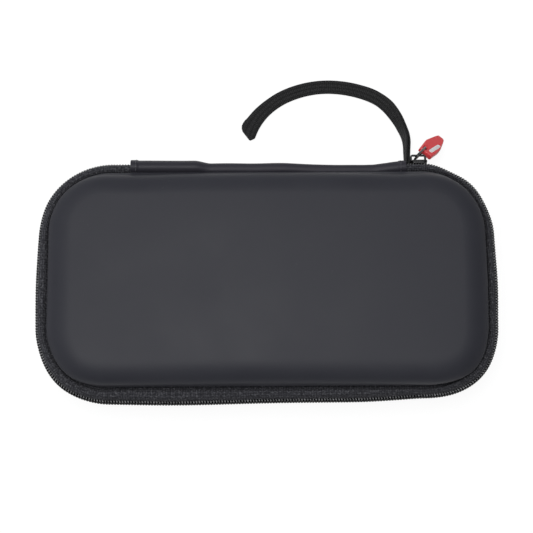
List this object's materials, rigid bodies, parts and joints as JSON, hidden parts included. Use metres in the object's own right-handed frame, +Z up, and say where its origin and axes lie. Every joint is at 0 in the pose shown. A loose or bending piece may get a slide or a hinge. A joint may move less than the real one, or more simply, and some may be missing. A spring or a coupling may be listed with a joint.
{
  "type": "handheld game console case",
  "caption": "Flat zip-up hard case with moulded lid and base, hinge band, inner net pocket, zip slider with pull tab, and a wrist strap loop, for carrying a handheld game console.",
  "frame": {"origin": "centre of the base shell's resting face", "axes": "+X along the case, -Y towards the zip at the front, +Y towards the hinge, +Z up through the lid"},
  "size_m": [0.26, 0.1969, 0.044],
  "materials": {
    "shell_cover": "soft matte leatherette over moulded foam",
    "zip_tape": "woven zip tape",
    "zip_coil": "nylon coil",
    "hinge_band": "smooth coated cloth",
    "lining": "brushed lining cloth",
    "binding": "ribbed binding tape",
    "net": "knitted net",
    "elastic": "woven elastic",
    "slider_metal": "matte black enamel",
    "link_metal": "gloss black enamel",
    "tab_rubber": "soft moulded rubber, satin",
    "inlay_plastic": "white moulded plastic",
    "webbing": "narrow woven webbing"
  },
  "bodies": {
    "base": {"base_shell": "shell_cover", "base_zip_tape": "zip_tape", "base_zip_coil": "zip_coil", "lid_tape_ends": "zip_tape", "lid_coil_ends": "zip_coil", "hinge_band": "hinge_band", "hinge_lining": "lining", "base_binding": "binding", "wrist_strap": "webbing"},
    "lid": {"lid_shell": "shell_cover", "lid_zip_tape": "zip_tape", "lid_zip_coil": "zip_coil", "lid_binding": "binding", "mesh_pocket": "net", "pocket_hem": "elastic"},
    "slider": {"slider_body": "slider_metal"},
    "link": {"pull_link": "link_metal"},
    "tab": {"pull_tab": "tab_rubber", "pull_inlay": "inlay_plastic"}
  },
  "joints": [
    {"name": "lid_hinge", "type": "hinge", "parent": "base", "child": "lid", "pos_m": [0, 0.069, 0.022], "axis": [-1, 0, 0], "range_deg": [0, 115], "deforming": ["hinge_band", "hinge_lining"]},
    {"name": "zip_travel", "type": "hinge", "parent": "base", "child": "slider", "pos_m": [0.088, 0.027, 0.022], "axis": [0, 0, -1], "range_deg": [0, 90]},
    {"name": "link_swing", "type": "hinge", "parent": "slider", "child": "link", "pos_m": [0.088, 0.0741, 0.022], "axis": [0, 0, 1], "range_deg": [-20, 14]},
    {"name": "tab_swing", "type": "hinge", "parent": "link", "child": "tab", "pos_m": [0.09229, 0.07921, 0.01724], "axis": [0.3733, 0.4448, 0.8141], "range_deg": [-15, 15]}
  ]
}
